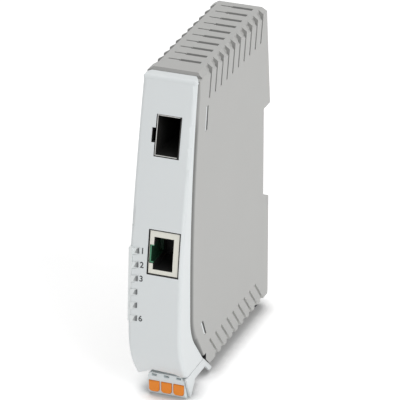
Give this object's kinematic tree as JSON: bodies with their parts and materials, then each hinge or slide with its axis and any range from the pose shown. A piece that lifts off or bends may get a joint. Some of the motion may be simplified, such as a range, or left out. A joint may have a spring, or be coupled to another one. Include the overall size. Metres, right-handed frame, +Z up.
{
  "type": "media_converter",
  "caption": "Slim rail-mounted fibre media converter: louvred grey housing, bowed white front with module cage, network socket, light guide, plug with orange levers and rail latch.",
  "frame": {"origin": "under the middle of the overall box, at the level of the lowest edge", "axes": "+X right seen from the front, +Y to the back (rail side), +Z up"},
  "size_m": [0.0216, 0.0945, 0.127],
  "materials": {
    "grey_plastic": "fine matt moulded",
    "white_plastic": "fine matt moulded",
    "plug_plastic": "smooth moulded",
    "clear_plastic": "frosted",
    "led_resin": "clear resin",
    "board_laminate": "solder mask",
    "chip_plastic": "moulded",
    "ceramic_tan": "fired",
    "tin_steel": "tinned",
    "cage_steel": "rolled",
    "can_aluminium": "drawn",
    "gold_contact": "plated",
    "ivory_plastic": "smooth moulded",
    "green_plastic": "smooth moulded",
    "latch_plastic": "smooth moulded",
    "orange_plastic": "smooth moulded"
  },
  "bodies": {
    "body": {"housing": "grey_plastic", "front_cover": "white_plastic", "light_guide": "clear_plastic", "led_chips": "led_resin", "circuit_board": "board_laminate", "converter_chip": "chip_plastic", "phy_chip": "chip_plastic", "isolation_transformer": "chip_plastic", "crystal_can": "tin_steel", "power_fuse": "chip_plastic", "power_inductor": "chip_plastic", "electrolytic_capacitors": "can_aluminium", "chip_capacitors": "ceramic_tan", "sfp_cage": "cage_steel", "sfp_cage_springs": "cage_steel", "sfp_connector": "chip_plastic", "sfp_contacts": "gold_contact", "rj45_insert": "ivory_plastic", "rj45_shield": "cage_steel", "rj45_latch_insert": "green_plastic", "rj45_contacts": "gold_contact", "power_header": "white_plastic", "header_pins": "tin_steel", "terminal_frame": "white_plastic", "latch_spring": "cage_steel"},
    "latch": {"rail_latch": "latch_plastic"},
    "plug": {"plug_housing": "plug_plastic", "plug_contacts": "tin_steel", "clamp_springs": "cage_steel"},
    "lever_1": {"release_lever_1": "orange_plastic"},
    "lever_2": {"release_lever_2": "orange_plastic"},
    "lever_3": {"release_lever_3": "orange_plastic"}
  },
  "joints": [
    {"name": "rail_latch_slide", "type": "slide", "parent": "body", "child": "latch", "axis": [0, 0, -1], "range_m": [0, 0.0032], "stiffness_N_per_m": 900, "springref_m": -0.002, "deforming": ["latch_spring"]},
    {"name": "plug_pull", "type": "slide", "parent": "body", "child": "plug", "axis": [0, 0, -1], "range_m": [0, 0.0085]},
    {"name": "lever_1_push", "type": "slide", "parent": "plug", "child": "lever_1", "axis": [0, 1, 0], "range_m": [0, 0.0006], "stiffness_N_per_m": 4000, "springref_m": -0.0005},
    {"name": "lever_2_push", "type": "slide", "parent": "plug", "child": "lever_2", "axis": [0, 1, 0], "range_m": [0, 0.0006], "stiffness_N_per_m": 4000, "springref_m": -0.0005},
    {"name": "lever_3_push", "type": "slide", "parent": "plug", "child": "lever_3", "axis": [0, 1, 0], "range_m": [0, 0.0006], "stiffness_N_per_m": 4000, "springref_m": -0.0005}
  ]
}
